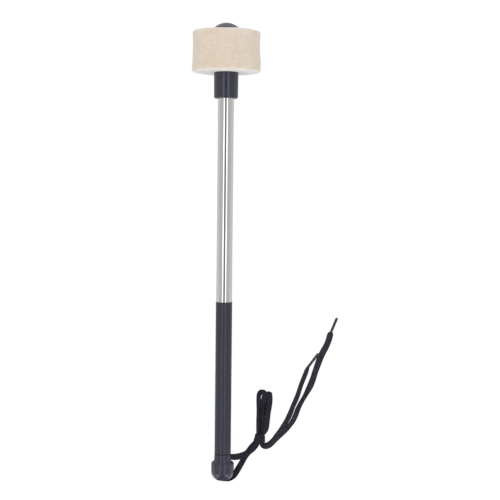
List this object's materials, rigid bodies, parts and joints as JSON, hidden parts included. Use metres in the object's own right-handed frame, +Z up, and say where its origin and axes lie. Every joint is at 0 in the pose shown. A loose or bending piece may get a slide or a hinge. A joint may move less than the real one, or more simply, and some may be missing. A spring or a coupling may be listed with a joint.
{
  "type": "felt drumstick",
  "caption": "Drumstick with a round felt head clamped on a steel tube, a sleeved grip, a ball-ended pommel and a knotted wrist lace.",
  "frame": {"origin": "on the table, under the middle of the stick's box as it lies on its ball end and the rim of its felt head", "axes": "+Y along the stick towards the felt head, +Z up from the table, +X towards the side where the wrist lace lies"},
  "size_m": [0.1144, 0.3525, 0.0529],
  "materials": {
    "steel_tube": "polished",
    "grip_sleeve": "satin",
    "dark_plastic": "semi-gloss",
    "felt": "pressed wool felt",
    "zinc_steel": "zinc plated",
    "brass": "turned",
    "lace": "flat braid",
    "aglet": "glossy film"
  },
  "bodies": {
    "root": {"shaft_tube": "steel_tube", "grip_sleeve": "grip_sleeve", "pommel": "dark_plastic", "collar": "dark_plastic", "dome_cap": "dark_plastic", "felt_head": "felt", "clamp_washer": "zinc_steel", "clamp_screw": "zinc_steel", "thread_bush": "brass", "lace_inside": "lace", "lace_neck_lead": "lace", "lace_end_lead": "lace", "lace_knot": "lace", "lace_bight_left": "lace", "lace_bight_right": "lace", "lace_tail_left": "lace", "lace_tail_right": "lace", "aglet_left": "aglet", "aglet_right": "aglet"}
  },
  "joints": []
}
